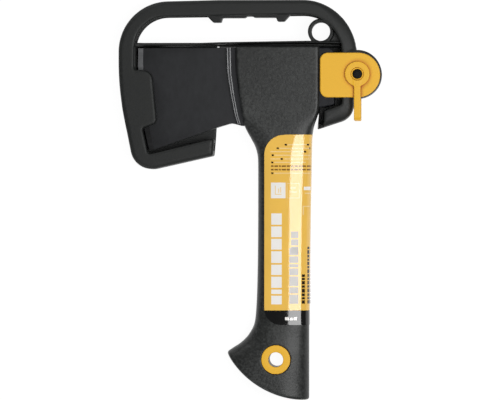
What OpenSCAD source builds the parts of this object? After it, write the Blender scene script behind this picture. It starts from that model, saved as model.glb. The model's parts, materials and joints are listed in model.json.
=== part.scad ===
// Camping hatchet in its locking carry sheath, lying on its side.
// X runs from the cutting edge to the poll, Y from the foot of the handle to the head,
// Z is the thickness. The origin is under the middle of the bounding box.

/* [Head] */
// Height of the head at its top edge
head_top = 99.7; // [99.2:0.1:100]
// Radius of the curved cutting edge
edge_r = 240; // [200:1:260]
// Width of the ground bevel
bevel_w = 3.4; // [2.5:0.1:5]
// Half thickness where the cheek meets the collar
cheek_half = 6.2; // [5:0.1:7]
// Half thickness of the steel collar
collar_half = 10.6; // [9.5:0.1:11]
// Half thickness of the striking poll
poll_half = 10.4; // [9:0.1:10.4]

/* [Handle] */
// Half thickness of the moulding around the head
wrap_half = 12.4; // [12:0.1:12.6]
// Half thickness of the grip
grip_half = 11.7; // [11:0.1:12.2]
// Radius of the lanyard hole
lanyard_r = 4.85; // [4:0.05:5]
// Outer radius of the trim rings around the lanyard hole
trim_r = 9.5; // [8:0.1:10]
// Thickness of the printed label
label_t = 0.3; // [0.2:0.05:0.4]

/* [Sheath] */
// Thickness of the sheath frame
frame_t = 24; // [24:0.1:24.1]
// Thickness of the frame's outer wall
rim_t = 3.2; // [2.6:0.1:3.6]
// Thickness of the front flange
front_t = 3.5; // [3:0.1:4]
// Thickness of the rear wall
rear_t = 2.4; // [2:0.1:2.5]
// Radius of the hole in the hanging eye
eye_r = 6.1; // [5:0.05:6.3]
// Wall of the hanging eye
eye_wall = 2.4; // [2:0.1:3]

/* [Lock] */
// Radius of the lock plate's round end
lock_r = 14.6; // [13.5:0.1:14.8]
// Thickness of the lock plate
plate_t = 2; // [1.6:0.1:2]
// Radius of the pivot pin
pin_r = 3.15; // [3:0.05:3.2]
// Width of the bail's strap
strap_w = 4.4; // [3.6:0.1:4.4]
// Thickness of the bail's strap
strap_t = 1.6; // [1.2:0.1:1.6]

/* [Hidden] */
$fn = 96;
e = 0.03;                       // moulded-in contact gap
mid = 13;                       // the axe's middle plane
pivot = [70.4, 82.3];           // lock pivot
plate_c = [70.7, 81.6];         // middle of the lock plate's round end
eye = [46.3, 110.4];            // hanging eye
lanyard = [17.1, -104.4];       // lanyard hole
run = 0.05;                     // running clearance on a radius
steel = "#36373a";
nylon = "#3e403f";
sheath_black = "#343635";
lock_orange = "#ecb440";
label_yellow = "#e9bb57";

// ---- outlines with rounded corners: each vertex is [x, y, radius] ----
function unit(v) = v / norm(v);
function xy(p) = [p[0], p[1]];
function corner(p0, p1, p2, r, n) = r <= 0 ? [p1] :
    let (a = unit(p0 - p1), b = unit(p2 - p1),
         half = acos(max(-1, min(1, a * b))) / 2,
         c = p1 + unit(a + b) * (r / sin(half)),
         t0 = p1 + a * (r / tan(half)), t1 = p1 + b * (r / tan(half)),
         s0 = atan2(t0[1] - c[1], t0[0] - c[0]), s1 = atan2(t1[1] - c[1], t1[0] - c[0]),
         ds = s1 - s0, dd = ds > 180 ? ds - 360 : ds < -180 ? ds + 360 : ds)
    [for (i = [0:n]) c + r * [cos(s0 + dd * i / n), sin(s0 + dd * i / n)]];
function rounded(v, n = 8) = let (m = len(v))
    [for (i = [0:m - 1]) each corner(xy(v[(i + m - 1) % m]), xy(v[i]), xy(v[(i + 1) % m]), v[i][2],
                                     v[i][2] > 8 ? 2 * n : n)];
// moves every side of a clockwise outline inwards by d
function inset(v, d) = let (m = len(v))
    [for (i = [0:m - 1]) let (p = xy(v[(i + m - 1) % m]), q = xy(v[i]), s = xy(v[(i + 1) % m]),
        u = unit(q - p), w = unit(s - q), n1 = [u[1], -u[0]], n2 = [w[1], -w[0]],
        turn = u[0] * w[1] - u[1] * w[0], k = q + d * (n1 + n2) / (1 + n1 * n2))
        [k[0], k[1], v[i][2] <= 0 ? 0 : max(0.4, v[i][2] + (turn < 0 ? -d : d))]];
module plate(v, z0, z1, n = 8) {
    translate([0, 0, z0]) linear_extrude(height = z1 - z0) polygon(rounded(v, n));
}
module bar(x0, x1, y0, y1, z0, z1) { translate([x0, y0, z0]) cube([x1 - x0, y1 - y0, z1 - z0]); }

// ---- handle: superellipse sections [y, left, right, half thickness, exponent] ----
stations = [
    [-134, -25, 38.6, 12.3, 3.2], [-116, -25, 38.6, 12.3, 3.2], [-106, -23.4, 38.6, 12.3, 3.2],
    [-102, -19.2, 38.6, 12.3, 3.2], [-99, -14.6, 38.6, 12.3, 3.2], [-97, -11.7, 38.6, 12.2, 3.1],
    [-94, -7.0, 38.6, 12.1, 3.1], [-90, -2.6, 38.6, 12, 3], [-86, 0.3, 38.6, 11.9, 3],
    [-82, 2.3, 38.6, 11.8, 3], [-78, 3.2, 38.6, 11.8, 2.9], [-72, 3.8, 38.6, grip_half, 2.9],
    [-60, 4.4, 38.7, grip_half, 2.9], [-40, 4.85, 38.9, grip_half, 2.8], [-20, 5.05, 39.2, grip_half, 2.8],
    [0, 5.1, 39.5, grip_half, 2.8], [20, 5.1, 39.9, grip_half, 2.9], [28, 4.9, 40.0, 11.8, 3],
    [32, 4.2, 40.1, 11.9, 3.2], [36, 2.8, 40.2, 12, 3.6], [40, 0.7, 40.4, 12.1, 4.2],
    [44, -1.5, 40.9, 12.2, 5], [48.5, -3.6, 41.7, 12.3, 6], [54, -4.5, 43.5, wrap_half, 7.2],
    [60, -5.5, 45.2, wrap_half, 7.6], [70, -6.9, 45.5, wrap_half, 8], [80, -8.0, 45.5, wrap_half, 8],
    [90, -8.7, 45.5, wrap_half, 8], [100.4, -9.1, 45.5, wrap_half, 8]];
function tangent(i, k) = let (a = max(0, i - 1), b = min(len(stations) - 1, i + 1))
    (stations[b][k] - stations[a][k]) / (stations[b][0] - stations[a][0]);
function span_of(y, i = 0) = (i >= len(stations) - 2 || y <= stations[i + 1][0]) ? i : span_of(y, i + 1);
function shape(y, k) = let (i = span_of(y), p = stations[i], q = stations[i + 1], h = q[0] - p[0],
        t = (y - p[0]) / h, t2 = t * t, t3 = t2 * t)
    (2 * t3 - 3 * t2 + 1) * p[k] + (t3 - 2 * t2 + t) * h * tangent(i, k)
    + (3 * t2 - 2 * t3) * q[k] + (t3 - t2) * h * tangent(i + 1, k);
function root(v, p) = sign(v) * pow(abs(v), p);
function skin(y, a, out = 0) = let (l = shape(y, 1), r = shape(y, 2), h = shape(y, 3), n = shape(y, 4))
    [(l + r) / 2 + ((r - l) / 2 + out) * root(cos(a), 2 / n), y, mid + (h + out) * root(sin(a), 2 / n)];
ring_n = 40;
handle_rows = concat([for (y = [-132:6:-108]) y], [for (y = [-106:2:-66]) y], [for (y = [-60:12:24]) y],
                     [for (y = [27:3:60]) y], [66, 74, 84, 94, 100.4]);

module handle_loft() {
    rows = len(handle_rows);
    pts = [for (y = handle_rows) for (j = [0:ring_n - 1]) skin(y, 360 * (j + 0.5) / ring_n)];
    side = [for (i = [0:rows - 2]) for (j = [0:ring_n - 1]) let (a = i * ring_n + j,
            b = i * ring_n + (j + 1) % ring_n) each [[a, b, b + ring_n], [a, b + ring_n, a + ring_n]]];
    polyhedron(pts, concat(side, [[for (j = [0:ring_n - 1]) ring_n - 1 - j],
                                  [for (j = [0:ring_n - 1]) (rows - 1) * ring_n + j]]), convexity = 6);
}

// ---- steel head ----
edge_x = -74.0;                 // the cutting edge's foremost point
edge_y = 91.8;
blade_outline = [[-78, head_top, 0], [-10, head_top, 0], [-5.4, 48.6, 0], [-12.2, 50.4, 5],
                 [-20.9, 47.8, 20], [-64.7, 32.7, 1], [-68, 31.4, 0], [-78, 31.4, 0]];
collar_outline = [[-14.2, head_top, 0], [-2, head_top, 0], [3, 49.6, 0], [-6.9, 49.4, 0.5],
                  [-8.8, 55.5, 0], [-11.5, 69.3, 30], [-13.7, 83.8, 40]];
core_outline = [[-9, 96.5, 2], [48, 96.5, 2], [48, 61, 2], [36, 55, 6], [6, 53, 6], [-5, 55, 2]];
poll_outline = [[41, head_top, 1], [55.4, head_top, 2.6], [55.4, 62.3, 2], [49, 61.0, 1], [41, 60.6, 1]];
key_holes = [[9, 75, 8], [29, 77, 8]];

module blade() {
    c = [edge_x + edge_r, edge_y];
    intersection() {
        translate([c[0], c[1], mid]) rotate([0, 0, 150]) rotate_extrude(angle = 60, $fn = 180)
            polygon([[edge_r - 72, -cheek_half - 1.3], [edge_r - bevel_w, -0.95], [edge_r, 0],
                     [edge_r - bevel_w, 0.95], [edge_r - 72, cheek_half + 1.3]]);
        plate(blade_outline, 0, 26);
    }
}
module core(g = 0) {
    difference() {
        plate(core_outline, mid - 4.5 - g, mid + 4.5 + g);
        for (k = key_holes) translate([k[0], k[1], 0]) cylinder(r = k[2] - g, h = 30);
    }
}
module axe_head() color(steel) {
    union() {
        blade();
        plate(collar_outline, mid - collar_half, mid + collar_half);
        core();
        plate(poll_outline, mid - poll_half, mid + poll_half);
    }
}
module head_pocket() {
    plate(inset(collar_outline, -e), mid - collar_half - e, mid + collar_half + e);
    core(e);
    plate(inset(poll_outline, -e), mid - poll_half - e, mid + poll_half + e);
}

// ---- handle moulding and its trim ----
module handle() color(nylon) {
    difference() {
        intersection() {
            handle_loft();
            union() {
                translate([37.4, -70.7, 0]) cylinder(r = 60.3, h = 27, $fn = 180);
                bar(-12, 60, -92, 101, 0, 27);
            }
        }
        head_pocket();
        translate([lanyard[0], lanyard[1], -1]) cylinder(r = lanyard_r, h = 30);
        for (z = [-1, mid + 10.2]) translate([lanyard[0], lanyard[1], z]) cylinder(r = trim_r + e, h = 3.8 + (z > 0 ? 9 : 0));
    }
}
// a flat ring whose outward face, at z0 + t, has eased edges
module trim_ring(z0, t) {
    s = sign(t) * 0.4;
    color(lock_orange) translate([lanyard[0], lanyard[1], 0]) rotate_extrude()
        polygon([[lanyard_r, z0], [trim_r, z0], [trim_r, z0 + t - s], [trim_r - 0.4, z0 + t],
                 [lanyard_r + 0.4, z0 + t], [lanyard_r, z0 + t - s]]);
}

// ---- wrap-round printed label ----
label_top = 42.7;
label_end = -81.7;
label_x = 9.5;
// how far the label's left edge is set in near its rounded corners
function label_left(y) = label_x
    + (y > label_top - 13.4 ? 13.4 - sqrt(max(0, 13.4 * 13.4 - pow(y - label_top + 13.4, 2))) : 0)
    + (y < label_end + 11 ? 11 - sqrt(max(0, 121 - pow(label_end + 11 - y, 2))) : 0);
function label_angle(y) = let (l = shape(y, 1), r = shape(y, 2), n = shape(y, 4))
    acos(max(-1, min(1, root((label_left(y) - (l + r) / 2) / ((r - l) / 2), n / 2))));
label_rows = [-81.7, -81.2, -80, -78, -75, -71, -66, -60, -50, -40, -30, -20, -10, 0, 10, 20, 26, 30, 33, 36, 38.5,
              40.5, 42, 42.7];
label_n = 30;
module label_sleeve() color(label_yellow) {
    rows = len(label_rows); w = label_n + 1; m = rows * w;
    pts = concat(
        [for (y = label_rows) for (j = [0:label_n]) skin(y, label_angle(y) * (1 - 2 * j / label_n), 0.12)],
        [for (y = label_rows) for (j = [0:label_n]) skin(y, label_angle(y) * (1 - 2 * j / label_n), 0.12 + label_t)]);
    inner = [for (i = [0:rows - 2]) for (j = [0:label_n - 1]) let (a = i * w + j)
             each [[a, a + w, a + w + 1], [a, a + w + 1, a + 1]]];
    outer = [for (f = inner) [m + f[2], m + f[1], m + f[0]]];
    rim = [for (j = [0:label_n - 1]) each [[j, j + 1, m + j + 1], [j, m + j + 1, m + j]],
           for (j = [0:label_n - 1]) let (a = (rows - 1) * w + j) each [[a + 1, a, m + a], [a + 1, m + a, m + a + 1]],
           for (i = [0:rows - 2]) let (a = i * w) each [[a + w, a, m + a], [a + w, m + a, m + a + w]],
           for (i = [0:rows - 2]) let (a = i * w + label_n) each [[a, a + w, m + a + w], [a, m + a + w, m + a]]];
    polyhedron(pts, concat(inner, outer, rim), convexity = 6);
}

// ---- sheath: one moulding, a C-section frame that opens inwards ----
outer_outline = [[-86.2, 129.4, 33], [-20, 131, 150], [69.7, 131, 35.5], [69.7, 70, 0], [67.8, 68, 0], [67.8, 54, 12],
                 [43.2, 46.1, 0.6], [44.1, 57, 0], [45, 67, 0], [45, 100, 0], [-22.6, 100, 0], [-22.6, 48.6, 0],
                 [-24.2, 29.0, 1.2], [-75.3, 17.5, 14], [-86.2, 72, 190]];
// the front face stops here: grip opening, edge window, lug, heel slope
front_inner = [[-75.3, 119.7, 20.6], [25, 121.4, 150], [59.8, 121.4, 25.5], [60.3, 62.4, 2.6], [48.8, 58.2, 0],
               [47.6, 40, 0], [-22.4, 20, 0], [-22.4, 40.5, 0], [-66.6, 29.9, 2.2], [-70.4, 47.0, 1.6], [-61.0, 50.4, 3.4],
               [-64.3, 84.5, 6], [-75.9, 85.4, 1.6]];
// the rear wall stops here
grip_inner = [[-75.9, 119.9, 21.5], [60.1, 121.5, 25.5], [60.1, 80, 0], [-75.9, 80, 0]];
head_window = [[-58, 96.8, 4], [-22.4, 96.8, 0], [-22.4, 100.8, 0], [-20, 100.8, 0], [-20, 96.8, 0], [-15.2, 96.8, 0],
               [-15.2, 99.9, 0], [-9.4, 99.9, 0], [-9.4, 100.6, 0], [45, 100.6, 0], [45, 67, 0], [44.1, 57, 0], [42, 46, 0], [42, 10, 0], [-22.6, 10, 0], [-22.6, 57, 2], [-58, 50, 4]];
rim_inner = [[-83, 126.2, 29.8], [-20, 127.8, 150], [66.8, 127.8, 31.3], [64.8, 56.4, 9], [40, 48.1, 0], [40, 20, 0], [-24, 20, 0],
             [-24, 32.6, 0], [-72.9, 21.4, 11], [-83, 72, 187]];
keeper = [[-28.2, 122.4, 0], [26.1, 122.4, 0], [26.1, 121.2, 0], [22.3, 117.1, 0.6], [17.9, 117.1, 0.6], [16.9, 119.7, 0.4],
          [2.7, 119.7, 0.4], [1.2, 120.7, 0.4], [-2, 120.7, 0.4], [-3.3, 119.5, 0.4], [-18.3, 119.5, 0.4],
          [-19.1, 116.5, 0.6], [-24.4, 116.5, 0.6], [-28.2, 120.4, 0]];
gusset = [[46, 102, 0], [61, 102, 0], [61, 112, 0], [56, 117, 0], [47, 121.2, 0]];
ceiling = [[-80, 100.8, 0], [-80, 103, 0], [-32, 103, 0], [-20, 103.4, 0], [13, 103.9, 0], [39, 104.3, 0], [42, 103.6, 0], [63, 103.6, 0],
           [63, 100.8, 0]];

module sheath_frame() color(sheath_black) {
    difference() {
        union() {
            // outer wall
            difference() {
                plate(outer_outline, 0, frame_t);
                plate(rim_inner, -1, frame_t + 1);
            }
            // front flange, thick at the lug
            difference() {
                plate(outer_outline, frame_t - front_t, frame_t);
                plate(front_inner, 0, frame_t + 1);
            }
            intersection() {
                difference() {
                    plate(outer_outline, 15.4, frame_t - 1);
                    plate(front_inner, 0, frame_t + 1);
                }
                bar(-84, -60, 46, 87, 0, 30);
            }
            // rear wall
            difference() {
                plate(outer_outline, 0, rear_t);
                intersection() {
                    plate(grip_inner, -1, 30);
                    plate([[-80, 103, 0], [-80, 126, 0], [66, 126, 0], [66, 103.6, 0], [42, 103.6, 0],
                           [39, 104.3, 0], [13, 103.9, 0], [-20, 103.4, 0], [-32, 103, 0]], -1, 30);
                }
                plate(head_window, -1, 30);
            }
            // blade rests and heel shelf
            for (y = [56, 72, 90]) bar(-81, -60, y, y + 2, 1, 10.6);
            intersection() {
                plate([[-69.4, 27.2, 0], [-67.4, 29.4, 0], [-24, 40, 0], [-24, 37.4, 0], [-67.8, 26.6, 0]], 1, 23);
                plate(outer_outline, 0, frame_t);
            }
            // wall over the head, its end pad, and a lip beside the cutting edge
            plate(ceiling, 0, 21);
            bar(-76, -70.5, 101, 103, 20, 22.6);
            bar(-76.4, -75.3, 85, 102, 1, 20.2);
            // belt keeper under the carry bar
            plate(keeper, 6, 18, 3);
            bar(-27.5, 26, 121.5, 128.5, 10, 14);
            // corner web with the hanging eye
            plate(gusset, 8, 16);
            translate([eye[0], eye[1], 6]) cylinder(r = eye_r + eye_wall, h = 12);
            // lobe for the lock pivot
            translate([pivot[0], pivot[1], 2]) cylinder(r = 15.8, h = frame_t - 2);
        }
        // pocket behind the poll, with the lobe's bore
        plate([[45, 100.8, 0], [56.6, 100.8, 0], [59.6, 97, 1], [59.6, 62.2, 2.4], [40, 56.4, 0]], rear_t, frame_t + 1);
        // room for the bail's rear eye
        translate([pivot[0], pivot[1], -1]) cylinder(r = 16.2, h = 3);
        translate([pivot[0], pivot[1], -1]) cylinder(r = pin_r, h = 40);
        translate([eye[0], eye[1], -1]) cylinder(r = eye_r, h = 40);
        // the foot's end face leans back
        translate([43.4, 46.4, 0]) rotate([0, 6.8, -5]) translate([-20, -4, -6]) cube([20, 14, 40]);
    }
}

// ---- lock ----
plate_z = frame_t + 0.2;
strap_z = plate_z + plate_t + 0.2;
module lock_pivot_pin() color("#1c1d1f") {
    translate([pivot[0], pivot[1], 0.5]) cylinder(r = pin_r, h = strap_z + strap_t - 1.7);
}
module lock_plate() color(lock_orange) {
    difference() {
        union() {
            plate([[46.0, plate_c[1] + lock_r, 5], [plate_c[0], plate_c[1] + lock_r, 0],
                   [plate_c[0], plate_c[1] - lock_r, 0], [46.0, plate_c[1] - lock_r, 5]], plate_z, plate_z + plate_t);
            translate([plate_c[0], plate_c[1], plate_z]) cylinder(r = lock_r, h = plate_t);
            translate([pivot[0], pivot[1], plate_z]) cylinder(r = 4.2, h = strap_z + strap_t - 0.2 - plate_z);
        }
        translate([pivot[0], pivot[1], 0]) cylinder(r = pin_r + run, h = 40);
    }
}
bail_reach = 30.4;                // pivot to the outside of the cross bar
module bail_leg(z) {
    translate([pivot[0], pivot[1], z]) cylinder(r = 8.1, h = strap_t);
    bar(pivot[0] - strap_w / 2, pivot[0] + strap_w / 2, pivot[1] - bail_reach + 3, pivot[1], z, z + strap_t);
}
module lock_bail() color(lock_orange) {
    z0 = 0.2; z1 = strap_z; y1 = pivot[1] - bail_reach;
    difference() {
        union() {
            bail_leg(z0);
            bail_leg(z1);
            bar(pivot[0] - strap_w / 2, pivot[0] + strap_w / 2, y1, y1 + strap_t, z0 + 3, z1 + strap_t - 3);
            for (k = [[z0 + 3, 180], [z1 + strap_t - 3, 270]])
                translate([pivot[0] + strap_w / 2, y1 + 3, k[0]]) rotate([0, -90, 0]) rotate([0, 0, k[1]])
                    rotate_extrude(angle = 90) translate([3 - strap_t, 0]) square([strap_t, strap_w]);
        }
        translate([pivot[0], pivot[1], z1 - 1]) cylinder(r = 4.22, h = 5);
        translate([pivot[0], pivot[1], -1]) cylinder(r = pin_r + run, h = 5);
    }
}

axe_head();
handle();
trim_ring(mid + 10.2, 2.3);  // trim_ring_front
trim_ring(mid - 10.2, -2.3);  // trim_ring_rear
label_sleeve();
sheath_frame();
lock_pivot_pin();
lock_plate();
lock_bail();
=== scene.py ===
import bpy, bmesh, json, math
import numpy as np
from mathutils import Vector, Matrix


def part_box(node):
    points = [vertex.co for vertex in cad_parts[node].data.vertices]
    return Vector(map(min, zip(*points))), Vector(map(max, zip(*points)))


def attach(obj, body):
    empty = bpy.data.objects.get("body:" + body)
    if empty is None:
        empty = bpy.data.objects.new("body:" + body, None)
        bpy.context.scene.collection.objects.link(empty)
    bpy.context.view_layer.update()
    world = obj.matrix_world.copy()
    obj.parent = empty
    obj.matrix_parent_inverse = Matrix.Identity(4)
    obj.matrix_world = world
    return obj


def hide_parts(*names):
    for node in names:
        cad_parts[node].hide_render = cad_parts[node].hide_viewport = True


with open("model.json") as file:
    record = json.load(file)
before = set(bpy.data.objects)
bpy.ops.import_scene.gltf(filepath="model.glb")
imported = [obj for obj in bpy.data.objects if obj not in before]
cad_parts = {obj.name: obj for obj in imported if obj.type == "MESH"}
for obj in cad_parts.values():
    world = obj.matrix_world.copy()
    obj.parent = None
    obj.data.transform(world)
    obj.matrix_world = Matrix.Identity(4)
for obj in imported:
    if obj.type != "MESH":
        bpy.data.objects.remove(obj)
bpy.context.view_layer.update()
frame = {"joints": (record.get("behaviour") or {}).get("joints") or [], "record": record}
BODY = "hatchet_and_sheath"
LOCK = "lock"
MM = 0.001


# ------------------------------------------------------------------ places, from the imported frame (millimetres)
def mm_box(node):
    lo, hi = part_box(node)
    return [v * 1000 for v in lo], [v * 1000 for v in hi]


MOUNTS = {m["name"]: m for m in frame["record"]["mounts"]}
JOINT = frame["joints"][0]
LAN = [v * 1000 for v in MOUNTS["lanyard_hole"]["pos_m"]]
LAN_R = MOUNTS["lanyard_hole"]["dims"]["r_mm"]
EYE = [v * 1000 for v in MOUNTS["hanging_eye"]["pos_m"]]
EYE_R = MOUNTS["hanging_eye"]["dims"]["r_mm"]
PIV = [v * 1000 for v in JOINT["pos_m"]]
MID = LAN[2]
(HX0, HY0, HZ0), (HX1, HY1, HZ1) = mm_box("handle")
(AX0, AY0, AZ0), (AX1, AY1, AZ1) = mm_box("axe_head")
(SX0, SY0, SZ0), (SX1, SY1, SZ1) = mm_box("sheath_frame")
(PX0, PY0, PZ0), (PX1, PY1, PZ1) = mm_box("lock_plate")
(BX0, BY0, BZ0), (BX1, BY1, BZ1) = mm_box("lock_bail")
(NX0, NY0, NZ0), (NX1, NY1, NZ1) = mm_box("lock_pivot_pin")
(LX0, LY0, LZ0), (LX1, LY1, LZ1) = mm_box("label_sleeve")
(T1X0, T1Y0, T1Z0), (T1X1, T1Y1, T1Z1) = mm_box("trim_ring_front")
(T2X0, T2Y0, T2Z0), (T2X1, T2Y1, T2Z1) = mm_box("trim_ring_rear")


# ------------------------------------------------------------------ outlines with rounded corners
def corner(p0, p1, p2, r, n):
    p0, p1, p2 = (np.array(p[:2], float) for p in (p0, p1, p2))
    if r <= 0:
        return [tuple(p1)]
    a = (p0 - p1) / np.linalg.norm(p0 - p1)
    b = (p2 - p1) / np.linalg.norm(p2 - p1)
    half = math.acos(max(-1, min(1, float(a @ b)))) / 2
    c = p1 + (a + b) / np.linalg.norm(a + b) * (r / math.sin(half))
    t0, t1 = p1 + a * (r / math.tan(half)), p1 + b * (r / math.tan(half))
    s0 = math.atan2(t0[1] - c[1], t0[0] - c[0])
    s1 = math.atan2(t1[1] - c[1], t1[0] - c[0])
    d = (s1 - s0 + math.pi) % (2 * math.pi) - math.pi
    return [(c[0] + r * math.cos(s0 + d * i / n), c[1] + r * math.sin(s0 + d * i / n)) for i in range(n + 1)]


def rounded(v, n=8):
    m = len(v)
    out = []
    for i in range(m):
        out += corner(v[i - 1], v[i], v[(i + 1) % m], v[i][2], 2 * n if v[i][2] > 8 else n)
    return out


# ------------------------------------------------------------------ distance fields on a grid
class Grid:
    def __init__(self, lo, hi, h, pad=2.0):
        self.h = h
        self.lo = [lo[i] - pad * h for i in range(3)]
        n = [int(math.ceil((hi[i] - lo[i]) / h + 2 * pad)) + 1 for i in range(3)]
        self.x = (self.lo[0] + h * np.arange(n[0])).astype(np.float32)[:, None, None]
        self.y = (self.lo[1] + h * np.arange(n[1])).astype(np.float32)[None, :, None]
        self.z = (self.lo[2] + h * np.arange(n[2])).astype(np.float32)[None, None, :]
        self.n = n

    def poly(self, pts):
        px, py = self.x[:, :, 0], self.y[:, :, 0]
        best = np.full((self.n[0], self.n[1]), 1e12, np.float32)
        inside = np.zeros((self.n[0], self.n[1]), bool)
        for i in range(len(pts)):
            ax, ay = pts[i]
            bx, by = pts[(i + 1) % len(pts)]
            ex, ey = bx - ax, by - ay
            L = ex * ex + ey * ey
            if L < 1e-12:
                continue
            wx, wy = px - ax, py - ay
            t = np.clip((wx * ex + wy * ey) / L, 0, 1)
            best = np.minimum(best, (wx - ex * t) ** 2 + (wy - ey * t) ** 2)
            if ay != by:
                inside ^= ((ay > py) != (by > py)) & (px < ex * (py - ay) / ey + ax)
        return (np.where(inside, -1, 1) * np.sqrt(best)).astype(np.float32)[:, :, None]

    def circle(self, c, r):
        return np.hypot(self.x - c[0], self.y - c[1]) - r

    def box2(self, x0, x1, y0, y1, r=0.0):
        qx = np.abs(self.x - (x0 + x1) / 2) - (x1 - x0) / 2 + r
        qy = np.abs(self.y - (y0 + y1) / 2) - (y1 - y0) / 2 + r
        return np.hypot(np.maximum(qx, 0), np.maximum(qy, 0)) + np.minimum(np.maximum(qx, qy), 0) - r

    def slab(self, d2, z0, z1, r=0.3):
        """d2 drawn out from z0 to z1 with its edges rounded to r."""
        a = d2 + r
        b = np.abs(self.z - (z0 + z1) / 2) - (z1 - z0) / 2 + r
        return np.minimum(np.maximum(a, b), 0) + np.hypot(np.maximum(a, 0), np.maximum(b, 0)) - r


def smin(a, b, k):
    h = np.maximum(k - np.abs(a - b), 0) / k
    return np.minimum(a, b) - h * h * k * 0.25


def smax(a, b, k):
    return -smin(-a, -b, k)


def surface(g, F, keep=None):
    """Surface nets: one vertex in each cell the surface crosses, one quad across each crossed edge."""
    F = np.ascontiguousarray(F, np.float32)
    s = F < 0
    nx, ny, nz = F.shape
    cnt = np.zeros((nx - 1, ny - 1, nz - 1), np.int8)
    for i in (0, 1):
        for j in (0, 1):
            for k in (0, 1):
                cnt += s[i:nx - 1 + i, j:ny - 1 + j, k:nz - 1 + k]
    cells = np.argwhere((cnt > 0) & (cnt < 8))
    index = np.full(cnt.shape, -1, np.int64)
    index[tuple(cells.T)] = np.arange(len(cells))
    acc = np.zeros((len(cells), 3))
    num = np.zeros(len(cells))
    for axis in range(3):
        others = [a for a in range(3) if a != axis]
        for u in (0, 1):
            for v in (0, 1):
                off = np.zeros(3, int)
                off[others[0]], off[others[1]] = u, v
                step = np.zeros(3, int)
                step[axis] = 1
                a = cells + off
                b = a + step
                fa, fb = F[tuple(a.T)], F[tuple(b.T)]
                m = (fa < 0) != (fb < 0)
                t = fa[m] / (fa[m] - fb[m])
                acc[m] += off + t[:, None] * step
                num[m] += 1
    v = cells + acc / num[:, None]
    # pull each vertex onto the field's zero
    for _ in range(2):
        c = np.clip(np.floor(v).astype(int), 0, np.array(F.shape) - 2)
        f = v - c
        val = np.zeros(len(v))
        grad = np.zeros((len(v), 3))
        for i in (0, 1):
            for j in (0, 1):
                for k in (0, 1):
                    w = [f[:, 0] if i else 1 - f[:, 0], f[:, 1] if j else 1 - f[:, 1], f[:, 2] if k else 1 - f[:, 2]]
                    q = F[c[:, 0] + i, c[:, 1] + j, c[:, 2] + k]
                    val += q * w[0] * w[1] * w[2]
                    grad[:, 0] += q * (1 if i else -1) * w[1] * w[2]
                    grad[:, 1] += q * (1 if j else -1) * w[0] * w[2]
                    grad[:, 2] += q * (1 if k else -1) * w[0] * w[1]
        g2 = np.maximum((grad ** 2).sum(1), 1e-6)
        move = -(val / g2)[:, None] * grad
        v = v + np.clip(move, -0.3, 0.3)
    quads = []
    for axis in range(3):
        u, w = [(1, 2), (2, 0), (0, 1)][axis]
        sl_a = [slice(None)] * 3
        sl_b = [slice(None)] * 3
        sl_a[axis] = slice(0, -1)
        sl_b[axis] = slice(1, None)
        cross = s[tuple(sl_a)] != s[tuple(sl_b)]
        e = np.argwhere(cross)
        ok = np.ones(len(e), bool)
        for q in (u, w):
            ok &= (e[:, q] > 0) & (e[:, q] < cnt.shape[q])
        e = e[ok]
        du, dw = np.zeros(3, int), np.zeros(3, int)
        du[u], dw[w] = 1, 1
        q = np.stack([index[tuple((e - du - dw).T)], index[tuple((e - dw).T)],
                      index[tuple(e.T)], index[tuple((e - du).T)]], 1)
        flip = ~s[tuple(e.T)]
        q[flip] = q[flip][:, ::-1]
        quads.append(q)
    quads = np.concatenate(quads)
    quads = quads[(quads >= 0).all(1)]
    return (v * g.h + np.array(g.lo)) * MM, quads


def mesh_object(name, verts, faces, smooth=True):
    me = bpy.data.meshes.new(name)
    verts = np.asarray(verts, np.float32)
    if isinstance(faces, np.ndarray):
        n, w = faces.shape
        me.vertices.add(len(verts))
        me.vertices.foreach_set("co", verts.ravel())
        me.loops.add(n * w)
        me.loops.foreach_set("vertex_index", faces.ravel().astype(np.int32))
        me.polygons.add(n)
        me.polygons.foreach_set("loop_start", np.arange(0, n * w, w, dtype=np.int32))
        me.update(calc_edges=True)
        me.validate()
    else:
        me.from_pydata([tuple(map(float, p)) for p in verts], [], faces)
        me.validate()
    ob = bpy.data.objects.new(name, me)
    bpy.context.scene.collection.objects.link(ob)
    me.polygons.foreach_set("use_smooth", [smooth] * len(me.polygons))
    me.update()
    return ob


def apply_mods(ob):
    dg = bpy.context.evaluated_depsgraph_get()
    me = bpy.data.meshes.new_from_object(ob.evaluated_get(dg))
    old = ob.data
    ob.modifiers.clear()
    ob.data = me
    me.name = old.name
    bpy.data.meshes.remove(old)
    return ob


def thin(ob, ratio, weld=True):
    """Fewer triangles where the surface is flat."""
    if ratio < 1:
        d = ob.modifiers.new("thin", "DECIMATE")
        d.ratio = ratio
    apply_mods(ob)
    ob.data.polygons.foreach_set("use_smooth", [True] * len(ob.data.polygons))
    return ob


def weighted(ob):
    w = ob.modifiers.new("weighted", "WEIGHTED_NORMAL")
    w.weight = 60
    w.keep_sharp = True
    return ob


def prism(name, pts, z0, z1, bevel=0.4, seg=3, angle=35):
    """An outline drawn out from z0 to z1 (mm), its edges rounded."""
    bm = bmesh.new()
    vs = [bm.verts.new((p[0] * MM, p[1] * MM, z0 * MM)) for p in pts]
    f = bm.faces.new(vs)
    ext = bmesh.ops.extrude_face_region(bm, geom=[f])
    up = [e for e in ext["geom"] if isinstance(e, bmesh.types.BMVert)]
    bmesh.ops.translate(bm, verts=up, vec=(0, 0, (z1 - z0) * MM))
    bmesh.ops.recalc_face_normals(bm, faces=bm.faces)
    me = bpy.data.meshes.new(name)
    bm.to_mesh(me)
    bm.free()
    ob = bpy.data.objects.new(name, me)
    bpy.context.scene.collection.objects.link(ob)
    b = ob.modifiers.new("bevel", "BEVEL")
    b.width, b.segments, b.limit_method, b.angle_limit = bevel * MM, seg, "ANGLE", math.radians(angle)
    b.use_clamp_overlap = True
    me.polygons.foreach_set("use_smooth", [True] * len(me.polygons))
    weighted(ob)
    return ob


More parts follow.
